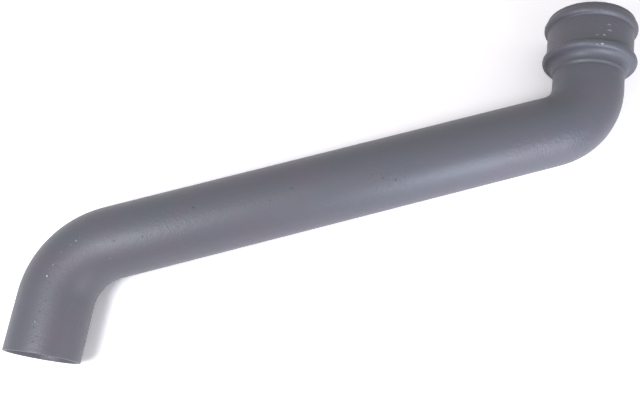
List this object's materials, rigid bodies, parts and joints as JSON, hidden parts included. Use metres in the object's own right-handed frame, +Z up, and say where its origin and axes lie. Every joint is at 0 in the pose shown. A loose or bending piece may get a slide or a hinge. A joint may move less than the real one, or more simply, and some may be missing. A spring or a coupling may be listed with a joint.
{
  "type": "downpipe offset bend",
  "caption": "Cast-iron round rainwater pipe offset: plain spigot end, slanting arm between opposite bends, and a socket with two half-round beads.",
  "frame": {"origin": "middle of the bounding box's bottom face, with the bend lying on its side as it rests", "axes": "+Y along the socket's and the spigot's axes, out of the socket's mouth; +X from the spigot side to the socket side; +Z up from the ground it lies on"},
  "size_m": [0.5348, 0.3998, 0.089],
  "materials": {
    "grey_primer_on_iron": "satin grey primer over a sand-cast skin"
  },
  "bodies": {
    "root": {"offset_bend": "grey_primer_on_iron"}
  },
  "joints": []
}
